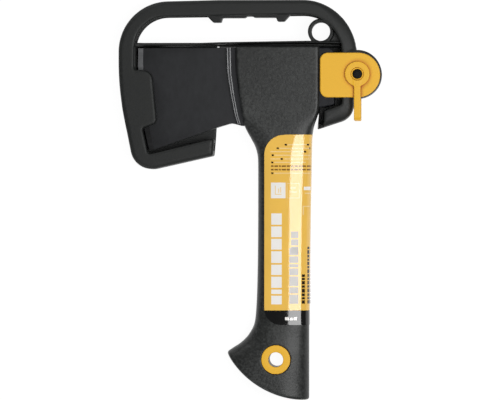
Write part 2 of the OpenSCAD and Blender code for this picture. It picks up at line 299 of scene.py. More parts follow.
def lathe(name, profile, centre, n=96):
    """A closed profile of (r, z) in mm turned about the vertical through centre."""
    verts, faces = [], []
    m = len(profile)
    for i in range(n):
        a = 2 * math.pi * i / n
        for r, z in profile:
            verts.append(((centre[0] + r * math.cos(a)) * MM, (centre[1] + r * math.sin(a)) * MM, z * MM))
    for i in range(n):
        for j in range(m):
            a, b = i * m + j, i * m + (j + 1) % m
            c, d = ((i + 1) % n) * m + (j + 1) % m, ((i + 1) % n) * m + j
            faces.append((a, d, c, b))
    ob = mesh_object(name, verts, faces)
    bm = bmesh.new()
    bm.from_mesh(ob.data)
    bmesh.ops.remove_doubles(bm, verts=bm.verts, dist=1e-7)
    bmesh.ops.recalc_face_normals(bm, faces=bm.faces)
    bm.to_mesh(ob.data)
    bm.free()
    ob.data.polygons.foreach_set("use_smooth", [True] * len(ob.data.polygons))
    return ob


def ring_profile(r0, r1, z0, z1, er=0.45, n=5):
    """A rectangle r0..r1, z0..z1 with rounded corners, as a closed profile."""
    return rounded([(r0, z0, er), (r1, z0, er), (r1, z1, er), (r0, z1, er)], n)


# ------------------------------------------------------------------ materials
def new_material(name):
    m = bpy.data.materials.new(name)
    m.use_nodes = True
    nt = m.node_tree
    return m, nt, nt.nodes["Principled BSDF"]


def coords(nt, scale=(1, 1, 1)):
    tc = nt.nodes.new("ShaderNodeTexCoord")
    mp = nt.nodes.new("ShaderNodeMapping")
    mp.inputs["Scale"].default_value = scale
    nt.links.new(tc.outputs["Object"], mp.inputs["Vector"])
    return mp.outputs["Vector"]


def noise(nt, vec, scale, detail=3.0, rough=0.55):
    n = nt.nodes.new("ShaderNodeTexNoise")
    n.inputs["Scale"].default_value = scale
    n.inputs["Detail"].default_value = detail
    n.inputs["Roughness"].default_value = rough
    nt.links.new(vec, n.inputs["Vector"])
    return n.outputs["Fac"]


def ramp(nt, fac, stops):
    r = nt.nodes.new("ShaderNodeValToRGB")
    els = r.color_ramp.elements
    while len(els) > 1:
        els.remove(els[-1])
    els[0].position, els[0].color = stops[0][0], (*stops[0][1], 1)
    for p, c in stops[1:]:
        e = els.new(p)
        e.color = (*c, 1)
    nt.links.new(fac, r.inputs["Fac"])
    return r.outputs["Color"]


def mapr(nt, fac, a, b, c, d):
    m = nt.nodes.new("ShaderNodeMapRange")
    for i, v in enumerate((a, b, c, d)):
        m.inputs[i + 1].default_value = v
    nt.links.new(fac, m.inputs[0])
    return m.outputs[0]


def bump(nt, height, strength, dist, into=None):
    b = nt.nodes.new("ShaderNodeBump")
    b.inputs["Strength"].default_value = strength
    b.inputs["Distance"].default_value = dist
    nt.links.new(height, b.inputs["Height"])
    if into is not None:
        nt.links.new(into, b.inputs["Normal"])
    return b.outputs["Normal"]


def grey(v, tint=(1, 1, 1)):
    return tuple(v * t for t in tint)


def moulded(name, col, spread, rough, rough_spread, grain, grain_d, strength=0.6, tint=(1, 1, 1), spec=0.5, speck=0.0):
    """Moulded plastic: slight tone change, fine spark-eroded grain, roughness that varies with it."""
    m, nt, p = new_material(name)
    v = coords(nt)
    big = noise(nt, v, 28, 3)
    fine = noise(nt, v, grain, 2, 0.6)
    mix = nt.nodes.new("ShaderNodeMath")
    mix.operation = "MULTIPLY_ADD"
    mix.inputs[1].default_value = 0.35
    nt.links.new(big, mix.inputs[0])
    half = nt.nodes.new("ShaderNodeMath")
    half.operation = "MULTIPLY"
    half.inputs[1].default_value = 0.65
    nt.links.new(fine, half.inputs[0])
    nt.links.new(half.outputs[0], mix.inputs[2])
    lo = tuple(c * (1 - spread) for c in col)
    hi = tuple(c * (1 + spread + speck) for c in col)
    nt.links.new(ramp(nt, mix.outputs[0], [(0.35, lo), (0.5, col), (0.66, hi)]), p.inputs["Base Color"])
    nt.links.new(mapr(nt, fine, 0.3, 0.7, rough - rough_spread, rough + rough_spread), p.inputs["Roughness"])
    nt.links.new(bump(nt, fine, strength, grain_d), p.inputs["Normal"])
    p.inputs["Specular IOR Level"].default_value = spec
    return m


MAT = {}
MAT["sheath"] = moulded("sheath_plastic", (0.0150, 0.0162, 0.0156), 0.16, 0.50, 0.06, 900, 0.00009, 0.5, spec=0.27)
MAT["handle"] = moulded("handle_nylon", (0.0180, 0.0192, 0.0185), 0.36, 0.39, 0.06, 620, 0.00013, 0.8, spec=0.30, speck=0.6)
MAT["orange"] = moulded("orange_plastic", (0.80, 0.445, 0.034), 0.025, 0.46, 0.04, 1100, 0.00003, 0.25, spec=0.22)


def paint_contact_shade(m, dist, dark):
    """Painted shade: the base colour darkens where ambient occlusion finds grooves and joints, standing in for contact
    shadow.
    """
    nt = m.node_tree
    p = nt.nodes["Principled BSDF"]
    src = p.inputs["Base Color"].links[0].from_socket
    ao = nt.nodes.new("ShaderNodeAmbientOcclusion")
    ao.samples = 12
    ao.inputs["Distance"].default_value = dist
    mix = nt.nodes.new("ShaderNodeMix")
    mix.data_type = "RGBA"
    mix.inputs["A"].default_value = (*dark, 1)
    nt.links.new(mapr(nt, ao.outputs["AO"], 0.45, 0.95, 0, 1), mix.inputs["Factor"])
    nt.links.new(src, mix.inputs["B"])
    nt.links.new(mix.outputs["Result"], p.inputs["Base Color"])


# painted shade: darker, redder orange in the grooves round the hub, ring and tail and along the joints
paint_contact_shade(MAT["orange"], 0.0030, (0.42, 0.075, 0.004))
MAT["pin"] = moulded("pin_plastic", (0.0045, 0.0042, 0.0042), 0.15, 0.5, 0.05, 900, 0.00004, 0.4, spec=0.12)


def steel_material(name, lo, hi, rough, metal=0.0, streak=(1, 1, 1), spec=0.5, s=0.35, aniso=0.0):
    m, nt, p = new_material(name)
    v = coords(nt, streak)
    a = noise(nt, v, 260, 4, 0.65)
    b = noise(nt, coords(nt), 35, 3)
    nt.links.new(ramp(nt, a, [(0.34, lo), (0.66, hi)]), p.inputs["Base Color"])
    nt.links.new(mapr(nt, b, 0.3, 0.7, rough - 0.05, rough + 0.06), p.inputs["Roughness"])
    nt.links.new(bump(nt, a, s, 0.00004), p.inputs["Normal"])
    p.inputs["Metallic"].default_value = metal
    p.inputs["Specular IOR Level"].default_value = spec
    p.inputs["Anisotropic"].default_value = aniso
    return m


MAT["coated"] = steel_material("coated_steel", (0.0185, 0.0191, 0.0208), (0.0235, 0.0244, 0.0266), 0.46, 0.0, (1.0, 0.5, 1.0), 0.28)
MAT["bevel"] = steel_material("ground_bevel", (0.150, 0.153, 0.158), (0.255, 0.258, 0.265), 0.40, 0.10, (0.10, 1.0, 1.0), 0.5, 0.5)
# painted highlight: a lighter steel for the collar lips' crest faces, on top of the light their ramps really catch
MAT["crest_highlight_paint"] = steel_material("crest_highlight_paint", (0.100, 0.102, 0.106), (0.135, 0.137, 0.141), 0.36, 0.10, (1.0, 0.2, 1.0), 0.5, 0.05)
MAT["poll"] = steel_material("poll_steel", (0.0085, 0.0090, 0.0112), (0.0125, 0.0132, 0.0160), 0.46, 0.0, (1, 0.25, 1), 0.16)


def ink(name, col, rough=0.22, coat=0.4, spread=0.04):
    m, nt, p = new_material(name)
    v = coords(nt)
    f = noise(nt, v, 45, 3)
    lo, hi = tuple(c * (1 - spread) for c in col), tuple(min(1, c * (1 + spread)) for c in col)
    nt.links.new(ramp(nt, f, [(0.3, lo), (0.7, hi)]), p.inputs["Base Color"])
    nt.links.new(mapr(nt, noise(nt, v, 300, 2), 0.3, 0.7, rough - 0.03, rough + 0.03), p.inputs["Roughness"])
    p.inputs["Coat Weight"].default_value = coat
    p.inputs["Coat Roughness"].default_value = 0.04
    p.inputs["Specular IOR Level"].default_value = 0.54
    return m


MAT["label"] = ink("label_yellow", (0.85, 0.515, 0.095), 0.085, 0.0)
MAT["label_black"] = ink("label_black", (0.006, 0.006, 0.006), 0.085, 0.0)
MAT["ink_dark"] = ink("ink_dark", (0.022, 0.012, 0.006), 0.085, 0.0)
MAT["ink_brown"] = ink("ink_brown", (0.22, 0.10, 0.02), 0.085, 0.0)
MAT["ink_white"] = ink("ink_white", (0.88, 0.86, 0.82), 0.085, 0.0)
MAT["ink_grey"] = ink("ink_grey", (0.30, 0.28, 0.25), 0.085, 0.0)
MAT["ink_pale"] = ink("ink_pale", (0.90, 0.66, 0.32), 0.085, 0.0)


def paint_shade_along_y(m, y0, y1, low):
    """Painted shade: multiplies the base colour by low at y0, by 1 at y1 (mm)."""
    nt = m.node_tree
    p = nt.nodes["Principled BSDF"]
    src = p.inputs["Base Color"].links[0].from_socket
    tc = nt.nodes.new("ShaderNodeTexCoord")
    sep = nt.nodes.new("ShaderNodeSeparateXYZ")
    nt.links.new(tc.outputs["Object"], sep.inputs[0])
    mix = nt.nodes.new("ShaderNodeMix")
    mix.data_type = "RGBA"
    mix.blend_type = "MULTIPLY"
    mix.inputs["Factor"].default_value = 1.0
    f = mapr(nt, sep.outputs["Y"], y0 * MM, y1 * MM, low, 1.0)
    nt.links.new(src, mix.inputs["A"])
    nt.links.new(f, mix.inputs["B"])
    nt.links.new(mix.outputs["Result"], p.inputs["Base Color"])


# painted shade: the ground bevel darkens towards its lower end, where the sheath arm shades it
paint_shade_along_y(MAT["bevel"], 55, 84, 0.16)


def dress(ob, mat, body, slot, *nodes):
    ob.data.materials.clear()
    for k in ([mat] if isinstance(mat, str) else mat):
        ob.data.materials.append(MAT[k])
    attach(ob, body)
    if nodes:
        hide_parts(*nodes)
    return ob


# ------------------------------------------------------------------ sheath
OUTER = [(SX0, 129.4, 33), (-20, SY1, 150), (69.7, SY1, 35.5), (69.7, 70, 0), (67.8, 68, 0), (67.8, 54, 12),
         (43.2, 46.1, 0.6), (44.1, 57, 0), (45, 67, 0), (45, 100, 0), (-22.6, 100, 0), (-22.6, 48.6, 0),
         (-24.2, 29.0, 1.2), (-75.3, 17.5, 14), (SX0, 72, 190)]
FRONT_IN = [(-75.3, 119.7, 20.6), (25, 121.4, 150), (59.8, 121.4, 25.5), (60.3, 62.4, 2.6), (48.8, 58.2, 0),
            (47.6, 40, 0), (-22.4, 20, 0), (-22.4, 40.5, 0), (-66.6, 29.9, 2.2), (-70.4, 47.0, 1.6), (-61.0, 50.4, 3.4),
            (-64.3, 84.5, 6), (-75.9, 85.4, 1.6)]
GRIP_IN = [(-75.9, 119.9, 21.5), (60.1, 121.5, 25.5), (60.1, 80, 0), (-75.9, 80, 0)]
CEILING = [(-80, 100.8, 0), (-80, 103, 0), (-32, 103, 0), (-20, 103.4, 0), (13, 103.9, 0), (39, 104.3, 0), (42, 103.6, 0), (63, 103.6, 0),
           (63, 100.8, 0)]
ABOVE = [(-80, 103, 0), (-80, 126, 0), (66, 126, 0), (66, 103.6, 0), (42, 103.6, 0), (39, 104.3, 0), (13, 103.9, 0), (-20, 103.4, 0),
         (-32, 103, 0)]
HEAD_WIN = [(-58, 96.8, 4), (-15.2, 96.8, 0), (-15.2, 99.9, 0),
            (-9.4, 99.9, 0), (-9.4, 100.6, 0), (45, 100.6, 0), (45, 67, 0), (44.1, 57, 0), (42, 46, 0), (42, 10, 0), (-22.6, 10, 0), (-22.6, 57, 2), (-58, 50, 4)]
RIM_IN = [(-83, 126.2, 29.8), (-20, 127.8, 150), (66.8, 127.8, 31.3), (64.8, 56.4, 9), (40, 48.1, 0), (40, 20, 0), (-24, 20, 0),
          (-24, 32.6, 0), (-72.9, 21.4, 11), (-83, 72, 187)]
KEEPER = [(-28.2, 122.4, 0), (26.1, 122.4, 0), (26.1, 121.2, 0), (22.3, 117.1, 0.6), (17.9, 117.1, 0.6), (16.9, 119.7, 0.4),
          (2.7, 119.7, 0.4), (1.2, 120.7, 0.4), (-2, 120.7, 0.4), (-3.3, 119.5, 0.4), (-18.3, 119.5, 0.4),
          (-19.1, 116.5, 0.6), (-24.4, 116.5, 0.6), (-28.2, 120.4, 0)]
GUSSET = [(46, 102, 0), (61, 102, 0), (61, 112, 0), (56, 117, 0), (47, 121.2, 0)]
CHANNEL = [(-75, 99.6, 0), (60, 99.6, 0), (60, 102.7, 0), (30, 103.0, 0), (-4, 102.6, 0), (-26, 102.1, 0), (-40, 101.5, 0), (-75, 101.3, 0)]
POLL_POCKET = [(45, 100.8, 0), (56.6, 100.8, 0), (59.6, 97, 1), (59.6, 62.2, 2.4), (40, 56.4, 0)]


def build_sheath():
    h = 0.62
    T = SZ1
    g = Grid((SX0, SY0, SZ0), (SX1, SY1, SZ1), h)
    x, y, z = g.x, g.y, g.z
    outer = g.poly(rounded(OUTER, 12))
    front_in = g.poly(rounded(FRONT_IN, 12))
    rim_in = g.poly(rounded(RIM_IN, 12))
    grip_in = g.poly(rounded(GRIP_IN, 12))
    head_win = g.poly(rounded(HEAD_WIN, 8))
    # the whole block, its front edge softly rounded, its back edge less so
    k = np.clip((x - 42) / 20, 0, 1)
    k = k * k * (3 - 2 * k)
    rx, rz = 2.6 + 6.6 * k, 2.6 + 0.9 * k
    qa, qb = (outer + rx) * rz / rx, z - T + rz
    soft = np.maximum(np.minimum(np.maximum(qa, qb), 0) + np.hypot(np.maximum(qa, 0), np.maximum(qb, 0)) - rz, outer)
    hard = g.slab(outer, SZ0, T + 6, 0.9)
    body = np.maximum(soft, hard)
    # inside of the outer wall
    hollow = g.slab(rim_in, 2.4, T - 3.5, 0.6)
    body = np.maximum(body, -hollow)
    # front opening, with a rolled edge
    body = smax(body, -np.maximum(front_in, 12 - z), 1.5)
    # rear openings
    grip = np.maximum(np.maximum(grip_in, g.poly(rounded(ABOVE))), z - 12)
    body = np.maximum(body, -grip)
    body = smax(body, -np.maximum(head_win, z - 12), 0.8)
    # thicker flange at the lug
    lug = np.maximum(np.maximum(outer, -front_in), g.box2(-84, -60, 46, 87))
    lug = g.slab(lug, 15.4, T - 1, 0.4)
    body = np.minimum(body, lug)
    # blade rests, heel shelf, wall over the head
    for yy in (56, 72, 90):
        body = np.minimum(body, g.slab(g.box2(-81, -60, yy, yy + 2), 1, 10.6, 0.5))
    heel = g.poly(rounded([(-69.4, 27.2, 0), (-67.4, 29.4, 0), (-24, 40, 0), (-24, 37.4, 0), (-67.8, 26.6, 0)]))
    body = np.minimum(body, g.slab(np.maximum(heel, outer), 1, 23, 0.4))
    body = smin(body, g.slab(g.poly(rounded(CEILING)), 0, 21, 0.5), 0.8)
    pad = np.maximum(g.slab(g.box2(-76, -70.3, 100.6, 103), 15, 23.4, 0.3), z - 22.6 + 0.55 * (x + 76))
    body = smin(body, pad, 0.3)
    body = np.minimum(body, g.slab(g.box2(-76.6, -75.1, 84, 102), 1, 20.2, 0.6))
    # belt keeper under the carry bar
    keeper = g.poly(rounded(KEEPER, 4))
    body = smin(body, g.slab(keeper, 6, 18, 0.5), 0.8)
    body = np.minimum(body, g.slab(g.box2(-27.5, 26, 121.5, 128.5), 10, 14, 0.5))
    # corner web with the hanging eye
    body = smin(body, g.slab(g.poly(rounded(GUSSET, 4)), 8, 16, 0.5), 1.0)
    body = smin(body, g.slab(g.circle(EYE, EYE_R + 2.4), 6, 18, 0.7), 0.8)
    # the ceiling is a thin wall with a deep channel under it, and a notch at the back
    chan = g.slab(g.poly(rounded(CHANNEL)), 6, T + 6, 0.3)
    body = np.maximum(body, -np.maximum(chan, -g.box2(-77, -70.1, 100.4, 104)))
    body = np.maximum(body, -g.slab(g.box2(-22.8, -20.7, 100.5, 101.1), -6, 12, 0.1))
    # lobe for the lock pivot
    body = smin(body, g.slab(g.circle(PIV, 15.8), 2, T, 0.9), 0.6)
    # pocket behind the poll, the bail's recess and the bores
    pocket = g.slab(g.poly(rounded(POLL_POCKET, 8)), 2.4, T + 6, 0.5)
    body = np.maximum(body, -pocket)
    body = np.maximum(body, -g.slab(g.circle(PIV, 16.2), -6, 2, 0.3))
    body = np.maximum(body, -g.circle(PIV, 3.15))
    body = smax(body, -g.circle(EYE, EYE_R), 0.6)
    # the foot's end face leans back
    ca, sa, cb, sb = math.cos(math.radians(6.8)), math.sin(math.radians(6.8)), math.cos(math.radians(5)), math.sin(math.radians(5))
    ux = (x - 43.4) * cb - (y - 46.4) * sb
    lean = ux * ca - z * sa
    body = smax(body, -np.maximum(np.maximum(lean, -18 - lean), np.abs(y - 49.4) - 7), 0.8)
    body = np.maximum(body, SZ0 - z)
    v, q = surface(g, body)
    ob = mesh_object("sheath_shell", v, q)
    thin(ob, 0.45)
    return dress(ob, "sheath", BODY, "sheath_plastic", "sheath_frame")


# ------------------------------------------------------------------ handle
STATIONS = np.array([
    [-134, -25, 38.6, 12.3, 3.2], [-116, -25, 38.6, 12.3, 3.2], [-106, -23.4, 38.6, 12.3, 3.2],
    [-102, -19.2, 38.6, 12.3, 3.2], [-99, -14.6, 38.6, 12.3, 3.2], [-97, -11.7, 38.6, 12.2, 3.1],
    [-94, -7.0, 38.6, 12.1, 3.1], [-90, -2.6, 38.6, 12, 3], [-86, 0.3, 38.6, 11.9, 3],
    [-82, 2.3, 38.6, 11.8, 3], [-78, 3.2, 38.6, 11.8, 2.9], [-72, 3.8, 38.6, 11.7, 2.9],
    [-60, 4.4, 38.7, 11.7, 2.9], [-40, 4.85, 38.9, 11.7, 2.8], [-20, 5.05, 39.2, 11.7, 2.8],
    [0, 5.1, 39.5, 11.7, 2.8], [20, 5.1, 39.9, 11.7, 2.9], [28, 4.9, 40.0, 11.8, 3],
    [32, 4.2, 40.1, 11.9, 3.2], [36, 2.8, 40.2, 12, 3.6], [40, 0.7, 40.4, 12.1, 4.2],
    [44, -1.5, 40.9, 12.2, 5], [48.5, -3.6, 41.7, 12.3, 6], [54, -4.5, 43.5, 12.4, 7.2],
    [60, -5.5, 45.2, 12.4, 7.6], [70, -6.9, 45.5, 12.4, 8], [80, -8.0, 45.5, 12.4, 8],
    [90, -8.7, 45.5, 12.4, 8], [100.4, -9.1, 45.5, 12.4, 8]])


def section(y):
    """left, right, half thickness and exponent of the handle at height y (array)."""
    y = np.clip(np.asarray(y, float), STATIONS[0, 0], STATIONS[-1, 0])
    n = len(STATIONS)
    i = np.clip(np.searchsorted(STATIONS[:, 0], y, side="left") - 1, 0, n - 2)
    h = STATIONS[i + 1, 0] - STATIONS[i, 0]
    t = (y - STATIONS[i, 0]) / h
    tan = np.zeros((n, 5))
    for k in range(n):
        a, b = max(0, k - 1), min(n - 1, k + 1)
        tan[k] = (STATIONS[b] - STATIONS[a]) / (STATIONS[b, 0] - STATIONS[a, 0])
    t2, t3 = t * t, t * t * t
    out = []
    for k in range(1, 5):
        out.append((2 * t3 - 3 * t2 + 1) * STATIONS[i, k] + (t3 - 2 * t2 + t) * h * tan[i, k]
                   + (3 * t2 - 2 * t3) * STATIONS[i + 1, k] + (t3 - t2) * h * tan[i + 1, k])
    return out


def build_handle():
    h = 0.55
    g = Grid((HX0, HY0, HZ0), (HX1, HY1, HZ1), h)
    x, y, z = g.x, g.y, g.z
    l, r, t, n = (np.asarray(a, np.float32)[None, :, None] for a in section(g.y.ravel()))
    a = (r - l) / 2
    k = np.clip((-81.5 - y) / 10, 0, 1)
    k = k * k * (3 - 2 * k)
    c = (l + r) / 2 * (1 - k) + 18.5 * k
    right = x > c
    low = np.clip((-88 - y) / 32, 0, 1)
    n = np.where(right, n * (1 - k) + (2.75 - 0.5 * low) * k, n * (1 - k) + 2.35 * k)
    u = np.maximum(np.abs((x - c) / np.where(right, r - c, c - l)), 1e-6)
    w = np.maximum(np.abs((z - MID) / t), 1e-6)
    f = (u ** n + w ** n) ** (1 / n)
    F = (f - 1) * np.minimum(a, t)
    # round the head the moulding is boxy
    R, flat = np.where(x < (l + r) / 2, 1.0, 2.0), t - 0.4
    qx, qz = np.abs(x - (l + r) / 2) - a + R, np.abs(z - MID) - flat + R
    box = np.minimum(np.maximum(qx, qz), 0) + np.hypot(np.maximum(qx, 0), np.maximum(qz, 0)) - R
    kb = np.clip((y - 44) / 14, 0, 1)
    kb = kb * kb * (3 - 2 * kb)
    F = F * (1 - kb) + box * kb
    # the foot's curved end, and the square cut over the head
    end = np.where(y < -60, np.hypot(x - 37.4, y + 70.7) - 60.3, -10.0)
    F = smax(F, end.astype(np.float32), 1.8)
    F = smax(F, y - HY1, 0.3)
    # lanyard hole and the seats of its trim rings
    F = np.maximum(F, -g.circle(LAN, LAN_R))
    ring_r = (T1X1 - T1X0) / 2
    seat = np.maximum(g.circle(LAN, ring_r + 0.05), np.minimum(T1Z0 - z, z - T2Z1))
    F = np.maximum(F, -seat)
    v, q = surface(g, F)
    ob = mesh_object("handle_moulding", v, q)
    thin(ob, 0.5)
    return dress(ob, "handle", BODY, "handle_nylon", "handle")


# ------------------------------------------------------------------ label film and its generic print
LABEL_TOP, LABEL_END, LABEL_X = 42.7, -81.7, 9.5


def label_left(y):
    y = np.asarray(y, float)
    a = np.where(y > LABEL_TOP - 13.4, 13.4 - np.sqrt(np.maximum(0, 13.4 ** 2 - (y - LABEL_TOP + 13.4) ** 2)), 0)
    b = np.where(y < LABEL_END + 11, 11 - np.sqrt(np.maximum(0, 121 - (LABEL_END + 11 - y) ** 2)), 0)
    return LABEL_X + a + b


def skin_z(x, y, out):
    l, r, t, n = section(y)
    u = np.clip(np.abs((x - (l + r) / 2) / ((r - l) / 2 + out)), 0, 0.999999)
    return MID + (t + out) * (1 - u ** n) ** (1 / n)


def wrap_row(y, out, x_left, cols):
    """Points round the section at height y from x_left on the front, round the right side, to the back."""
    l, r, t, n = (float(v) for v in section(y))
    cx, a, b = (l + r) / 2, (r - l) / 2 + out, t + out
    th = np.linspace(0, math.pi, 1200)
    px = cx + a * np.sign(np.cos(th)) * np.abs(np.cos(th)) ** (2 / n)
    pz = b * np.abs(np.sin(th)) ** (2 / n)
    keep = px >= x_left
    px, pz = px[keep], pz[keep]          # from the far right back to x_left, front half
    fx, fz = px[::-1], pz[::-1]          # x_left -> right
    X = np.concatenate([fx, px[1:]])
    Z = np.concatenate([fz, -pz[1:]])
    s = np.concatenate([[0], np.cumsum(np.hypot(np.diff(X), np.diff(Z)))])
    q = np.linspace(0, s[-1], cols)
    return np.interp(q, s, X), np.interp(q, s, Z) + MID


def film(name, y_list, left, out0, out1, cols, mat):
    rows = len(y_list)
    verts = []
    for out in (out0, out1):
        for yy in y_list:
            X, Z = wrap_row(yy, out, float(left(yy)), cols)
            verts += [(X[j] * MM, yy * MM, Z[j] * MM) for j in range(cols)]
    m = rows * cols
    faces = []
    for i in range(rows - 1):
        for j in range(cols - 1):
            a = i * cols + j
            faces.append((a, a + cols, a + cols + 1, a + 1))
            faces.append((m + a, m + a + 1, m + a + cols + 1, m + a + cols))
    for j in range(cols - 1):
        faces.append((j, j + 1, m + j + 1, m + j))
        a = (rows - 1) * cols + j
        faces.append((a + 1, a, m + a, m + a + 1))
    for i in range(rows - 1):
        a = i * cols
        faces.append((a + cols, a, m + a, m + a + cols))
        a = i * cols + cols - 1
        faces.append((a, a + cols, m + a + cols, m + a))
    ob = mesh_object(name, verts, faces)
    bm = bmesh.new()
    bm.from_mesh(ob.data)
    bmesh.ops.recalc_face_normals(bm, faces=bm.faces)
    bm.to_mesh(ob.data)
    bm.free()
    ob.data.polygons.foreach_set("use_smooth", [True] * len(ob.data.polygons))
    ob.data.set_sharp_from_angle(angle=math.radians(40))
    return ob


PRINT_OUT = 0.43


def print_marks(name, rects, mat, out=PRINT_OUT):
    """Flat rectangles of ink (x0, x1, y0, y1) lying on the film."""
    verts, faces = [], []
    for x0, x1, y0, y1 in rects:
        nx, ny = max(2, int((x1 - x0) / 0.7) + 2), max(2, int((y1 - y0) / 4) + 2)
        base = len(verts)
        for k, o in enumerate((out - 0.05, out + 0.03)):
            for i in range(ny):
                yy = y0 + (y1 - y0) * i / (ny - 1)
                xs = np.linspace(x0, x1, nx)
                zs = skin_z(xs, np.full(nx, yy), o)
                verts += [(xs[j] * MM, yy * MM, zs[j] * MM) for j in range(nx)]
        m = nx * ny
        for i in range(ny - 1):
            for j in range(nx - 1):
                a = base + i * nx + j
                faces.append((a, a + nx, a + nx + 1, a + 1))
                faces.append((a + m, a + m + 1, a + m + nx + 1, a + m + nx))
        for j in range(nx - 1):
            a, b = base + j, base + (ny - 1) * nx + j
            faces.append((a, a + 1, a + m + 1, a + m))
            faces.append((b + 1, b, b + m, b + m + 1))
        for i in range(ny - 1):
            a, b = base + i * nx, base + i * nx + nx - 1
            faces.append((a + nx, a, a + m, a + m + nx))
            faces.append((b, b + nx, b + m + nx, b + m))
    ob = mesh_object(name, verts, faces, smooth=False)
    return dress(ob, mat, BODY, "label_print")


def build_label():
    top_rows = list(np.linspace(LABEL_TOP - 13.4, LABEL_TOP, 22)[1:])
    low = list(np.linspace(LABEL_END, LABEL_END + 11, 20))
    split = -72.2
    mid_rows = list(np.arange(split, LABEL_TOP - 13.4 + 0.01, 3.0))
    ys = [split] + [v for v in mid_rows[1:]] + [v for v in top_rows if v > mid_rows[-1] + 0.2]
    y_film = sorted(set(round(float(v), 3) for v in ys))
    ob = film("label_film", y_film, label_left, 0.12, 0.42, 72, "label")
    dress(ob, "label", BODY, "label_print", "label_sleeve")
    yb = sorted(set(round(float(v), 3) for v in [LABEL_END + 0.02] + [v for v in low[1:] if v < split - 0.3] + [split - 0.03]))
    ob = film("label_foot", yb, label_left, 0.12, 0.42, 72, "label_black")
    dress(ob, "label_black", BODY, "label_print")
    X = lambda px: (px - 250.3) * 0.66 + 0.6
    Y = lambda py: (200 - py) * 0.66 - 0.5
    dark, white, greyb, pale, brown = [], [], [], [], []

    def add(lst, px0, px1, py0, py1):
        lst.append((X(px0), min(X(px1), 39.6), Y(py1), Y(py0)))
    # fine pale lines with little dark squares at their heads
    for py, a, b in ((144.5, 287, 307), (148, 279, 309), (151.4, 270, 303), (154.9, 274, 310), (158.6, 270, 280), (158.6, 284, 308),
                     (162, 274, 305), (172.7, 274, 309)):
        add(pale, a, b, py - 0.45, py + 0.45)
    for px, py in ((285.3, 144.5), (307.2, 144.5), (277.3, 148), (309.4, 148), (304.2, 151.4), (272.4, 154.9),
                   (281.2, 158.6), (271.9, 162), (271.9, 172.7)):
        add(dark, px - 1.1, px + 1.1, py - 0.85, py + 0.85)
    for py in (165.7, 169.2):
        xx = 270.5
        k = 0
        while xx < 310:
            w = (2.6, 3.6, 1.8, 4.2, 3.0)[k % 5]
            add(brown, xx, min(xx + w, 310.5), py - 0.75, py + 0.75)
            xx += w + 0.9
            k += 1
    # icon tile, outlined boxes
    add(white, 270.5, 285, 182, 197.5)
    for a, b, c, d in ((286.2, 286.8, 182.5, 197.5), (298.2, 298.8, 182.5, 197.5), (286.8, 298.2, 182.5, 183.1), (286.8, 298.2, 196.9, 197.5)):
        add(pale, a, b, c, d)
    add(pale, 290, 295, 186, 188.2)
    add(pale, 289.5, 296, 190.5, 192)
    add(white, 303, 310.5, 186, 189.5)
    add(pale, 304, 310.5, 192, 193.2)
    add(pale, 302, 310.5, 205, 206)
    add(pale, 302, 303, 206, 214)
    # tall bars where the real print has words
    k, yy = 0, 302.6
    for hgt in (8.6, 4.4, 11.0, 10.2, 11.6, 10.6, 10.6, 11.2, 5.0):
        if yy - hgt < 208.5:
            break
        add(white, 270.8, 281.2, yy - hgt, yy)
        yy -= hgt + 1.7
    yy = 302
    for hgt in (9, 6, 9.5, 6.5, 3, 6.5, 7):
        add(greyb, 288.8, 297.6, yy - hgt, yy)
        yy -= hgt + 1.3
    yy = 252
    for hgt in (6.5, 6, 6.5):
        add(greyb, 290.5, 297.6, yy - hgt, yy)
        yy -= hgt + 1.3
    for x0, x1, lo, hi in ((301.0, 304.0, 273, 302), (306.4, 309.0, 244, 302)):
        yy, k = hi, 0
        while yy > lo + 2:
            hgt = (3.4, 2.2, 2.8, 3.8, 2.4)[k % 5]
            add(dark, x0, x1, max(lo, yy - hgt), yy)
            yy -= hgt + 0.9
            k += 1
    print_marks("print_pale", pale, "ink_pale")
    print_marks("print_white", white, "ink_white")
    print_marks("print_grey", greyb, "ink_grey")
    print_marks("print_dark", dark, "ink_dark")
    print_marks("print_brown", brown, "ink_brown")
    foot = []
    add(foot, 284.5, 288.5, 315.2, 318.4)
    add(foot, 289.5, 292.0, 315.8, 318.4)
    add(foot, 293.0, 296.2, 315.2, 318.4)
    print_marks("print_foot", foot, "ink_white")
    icon = []
    add(icon, 274.5, 275.3, 185, 194)
    add(icon, 275.3, 281, 193.2, 194)
    add(icon, 277.5, 278.5, 188, 192)
    add(icon, 279.6, 280.6, 186.5, 192)
    print_marks("print_icon", icon, "ink_pale", PRINT_OUT + 0.05)


# ------------------------------------------------------------------ trim rings, pin, lock
def build_small():
    r1 = (T1X1 - T1X0) / 2
    ob = lathe("lanyard_trim_front", ring_profile(LAN_R, r1 - 0.02, T1Z0 + 0.02, T1Z1 + 0.1, 0.5), LAN, 128)
    dress(ob, "orange", BODY, "orange_plastic", "trim_ring_front")
    ob = lathe("lanyard_trim_rear", ring_profile(LAN_R, r1 - 0.02, T2Z0 - 0.1, T2Z1 - 0.02, 0.5), LAN, 128)
    dress(ob, "orange", BODY, "orange_plastic", "trim_ring_rear")
    rp = (NX1 - NX0) / 2
    prof = [(0.0001, NZ0)] + rounded([(rp, NZ0, 0.5), (rp, NZ1, 0.5), (0.0001, NZ1, 0)], 5)[:-1][:12]
    prof = [(0, NZ0), (rp - 0.5, NZ0), (rp - 0.15, NZ0 + 0.15), (rp, NZ0 + 0.5), (rp, NZ1 - 0.5), (rp - 0.15, NZ1 - 0.15),
            (rp - 0.5, NZ1), (1.9, NZ1), (1.7, NZ1 - 0.5), (0, NZ1 - 0.5)]
    ob = lathe("pivot_pin", prof, PIV, 96)
    ob.data.set_sharp_from_angle(angle=math.radians(50))
    dress(ob, "pin", BODY, "pin_plastic", "lock_pivot_pin")


